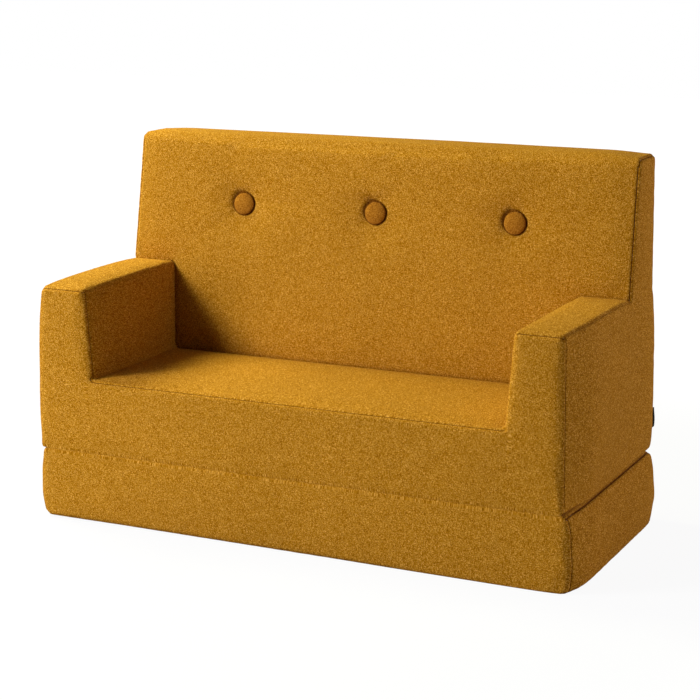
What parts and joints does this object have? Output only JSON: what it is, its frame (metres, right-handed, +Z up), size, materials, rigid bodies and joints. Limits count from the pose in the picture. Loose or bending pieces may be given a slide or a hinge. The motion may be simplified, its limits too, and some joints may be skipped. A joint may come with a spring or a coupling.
{
  "type": "kids flip open sofa",
  "caption": "Small all-foam sofa in sewn covers, whose lower mat is joined at the front crease and flips out forwards as a play mat.",
  "frame": {"origin": "on the floor, under the middle of the closed mat", "axes": "+Z up, +X to the right seen from the front, +Y to the rear"},
  "size_m": [0.806, 0.3662, 0.523],
  "materials": {
    "cloth": "heathered mustard weave",
    "button_cloth": "fine rust-brown weave",
    "dark_cloth": "black ribbon",
    "zip_tape": "woven zip tape with coil teeth",
    "foam": "open cell foam",
    "twine": "waxed twine",
    "plastic": "moulded",
    "steel": "plated"
  },
  "bodies": {
    "sofa_body": {"seat_foam": "foam", "left_arm_foam": "foam", "right_arm_foam": "foam", "back_foam": "foam", "front_panel": "cloth", "seat_gusset": "cloth", "left_side_panel": "cloth", "right_side_panel": "cloth", "back_panel": "cloth", "base_panel": "cloth", "left_button": "button_cloth", "centre_button": "button_cloth", "right_button": "button_cloth", "left_button_back": "steel", "centre_button_back": "steel", "right_button_back": "steel", "left_twine": "twine", "centre_twine": "twine", "right_twine": "twine", "left_anchor_disc": "plastic", "centre_anchor_disc": "plastic", "right_anchor_disc": "plastic", "sofa_zip_tape": "zip_tape", "side_tag": "dark_cloth", "hinge_strip": "cloth"},
    "sofa_zip_slider": {"sofa_zip_slider": "steel"},
    "sofa_zip_pull": {"sofa_zip_pull": "steel"},
    "mat": {"mat_foam": "foam", "mat_top_panel": "cloth", "mat_bottom_panel": "cloth", "mat_front_panel": "cloth", "mat_rear_panel": "cloth", "mat_left_panel": "cloth", "mat_right_panel": "cloth", "mat_zip_tape": "zip_tape"},
    "mat_zip_slider": {"mat_zip_slider": "steel"},
    "mat_zip_pull": {"mat_zip_pull": "steel"}
  },
  "joints": [
    {"name": "flip_open", "type": "hinge", "parent": "sofa_body", "child": "mat", "pos_m": [0, -0.1805, 0.10025], "axis": [-1, 0, 0], "range_deg": [0, 180], "deforming": ["hinge_strip"]},
    {"name": "sofa_zip_slide", "type": "slide", "parent": "sofa_body", "child": "sofa_zip_slider", "axis": [-1, 0, 0], "range_m": [0, 0.597]},
    {"name": "sofa_zip_pull_swing", "type": "hinge", "parent": "sofa_zip_slider", "child": "sofa_zip_pull", "pos_m": [0.2987, 0.1837, 0.1455], "axis": [0, 0, -1], "range_deg": [0, 180]},
    {"name": "mat_zip_slide", "type": "slide", "parent": "mat", "child": "mat_zip_slider", "axis": [-1, 0, 0], "range_m": [0, 0.597]},
    {"name": "mat_zip_pull_swing", "type": "hinge", "parent": "mat_zip_slider", "child": "mat_zip_pull", "pos_m": [0.2987, 0.1837, 0.05], "axis": [0, 0, -1], "range_deg": [0, 180]}
  ]
}
